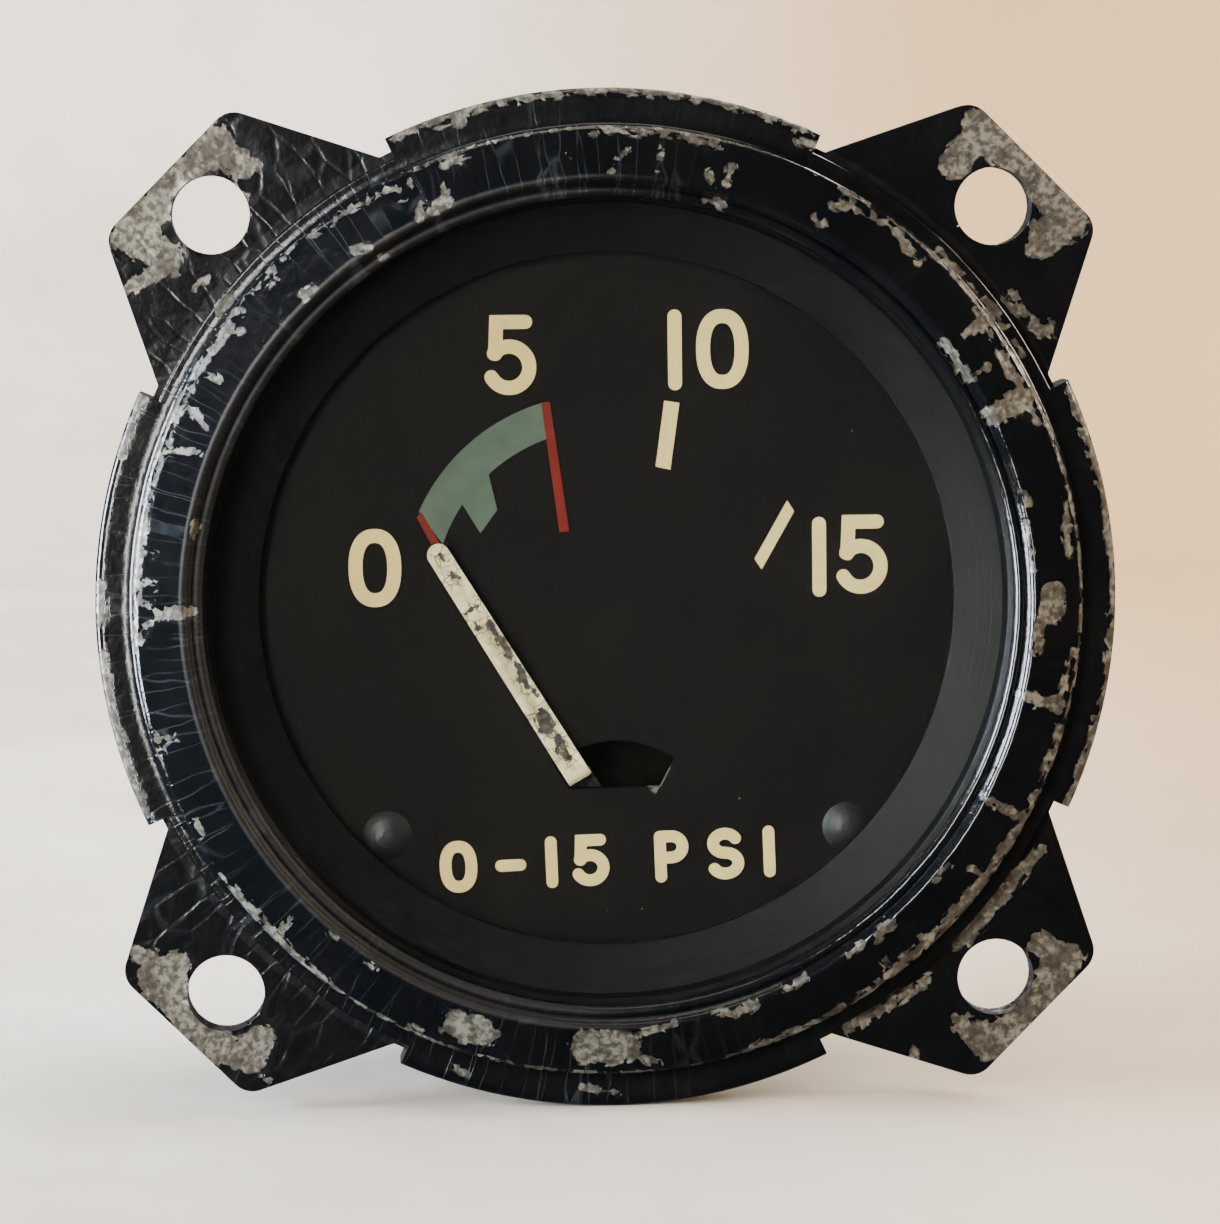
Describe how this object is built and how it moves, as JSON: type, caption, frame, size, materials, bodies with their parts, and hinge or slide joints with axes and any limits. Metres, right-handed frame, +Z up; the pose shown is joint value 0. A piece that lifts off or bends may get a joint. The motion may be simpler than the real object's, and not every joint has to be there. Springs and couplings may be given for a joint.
{
  "type": "aircraft fuel pressure gauge",
  "caption": "Round panel pressure gauge with a crimped bezel, square eared flange, plain numbered dial, direct-drive tube movement and a rear pressure stub.",
  "frame": {"origin": "middle of the four ear holes, on the back face of the ears, which rests on the panel", "axes": "+X to the right and +Z up as the dial is read; +Y from the dial towards the back and out along the pressure stub"},
  "size_m": [0.0618, 0.0461, 0.0618],
  "materials": {
    "enamelled_steel": "aged blue-black enamel, cracked and chipped to bare metal",
    "enamelled_bezel": "aged gloss blue-black enamel, crazed across the ring and chipped along its edges",
    "glass": "clear, lightly hazed",
    "rubber": "matt black",
    "spacer_black": "satin black paint",
    "dial_black": "matt black paint, browned with age",
    "blued_steel": "gloss black",
    "brass": "dull, tarnished",
    "bronze": "drawn, satin",
    "steel": "turned",
    "pointer_cream": "cream paint, flaking",
    "fibre": "vulcanised fibre"
  },
  "bodies": {
    "case": {"mounting_flange": "enamelled_steel", "bezel_ring": "enamelled_bezel", "cover_glass": "glass", "glass_gasket": "rubber", "spacer_ring": "spacer_black", "dial_plate": "dial_black", "dial_screws": "blued_steel", "dial_posts": "brass", "bourdon_tube": "bronze", "socket_block": "brass", "restrictor_screw": "brass", "front_plate": "brass", "back_plate": "brass", "frame_pillars": "brass", "frame_screws": "steel", "block_screws": "steel", "pivot_bushes": "bronze", "case_cup": "enamelled_steel", "stem_seal": "fibre", "stem_washer": "steel", "stem_nut": "brass"},
    "pointer": {"pointer": "pointer_cream", "pointer_hub": "brass", "pointer_staff": "steel", "crank": "brass", "crank_pin": "steel"},
    "tube_tip": {"tube_tip": "brass", "tip_pin": "steel"},
    "link": {"link": "brass"}
  },
  "joints": [
    {"name": "pointer_sweep", "type": "hinge", "parent": "case", "child": "pointer", "pos_m": [0.0005, 0, -0.0147], "axis": [0, 1, 0], "range_deg": [0, 59.3], "stiffness_Nm_per_rad": 0.002, "springref_deg": -2.86},
    {"name": "tube_flex", "type": "hinge", "parent": "case", "child": "tube_tip", "pos_m": [0.00056, 0.0106, 0.00715], "axis": [0, 1, 0], "range_deg": [0, 4.63], "deforming": ["bourdon_tube"]},
    {"name": "link_pivot", "type": "hinge", "parent": "tube_tip", "child": "link", "pos_m": [-0.00673, 0.0114, -0.01364], "axis": [0, 1, 0], "range_deg": [-4.63, 0]}
  ],
  "couplings": [
    {"joint": "tube_flex", "follows": "pointer_sweep", "ratio": 0.078101},
    {"joint": "link_pivot", "follows": "pointer_sweep", "ratio": -0.078101}
  ]
}
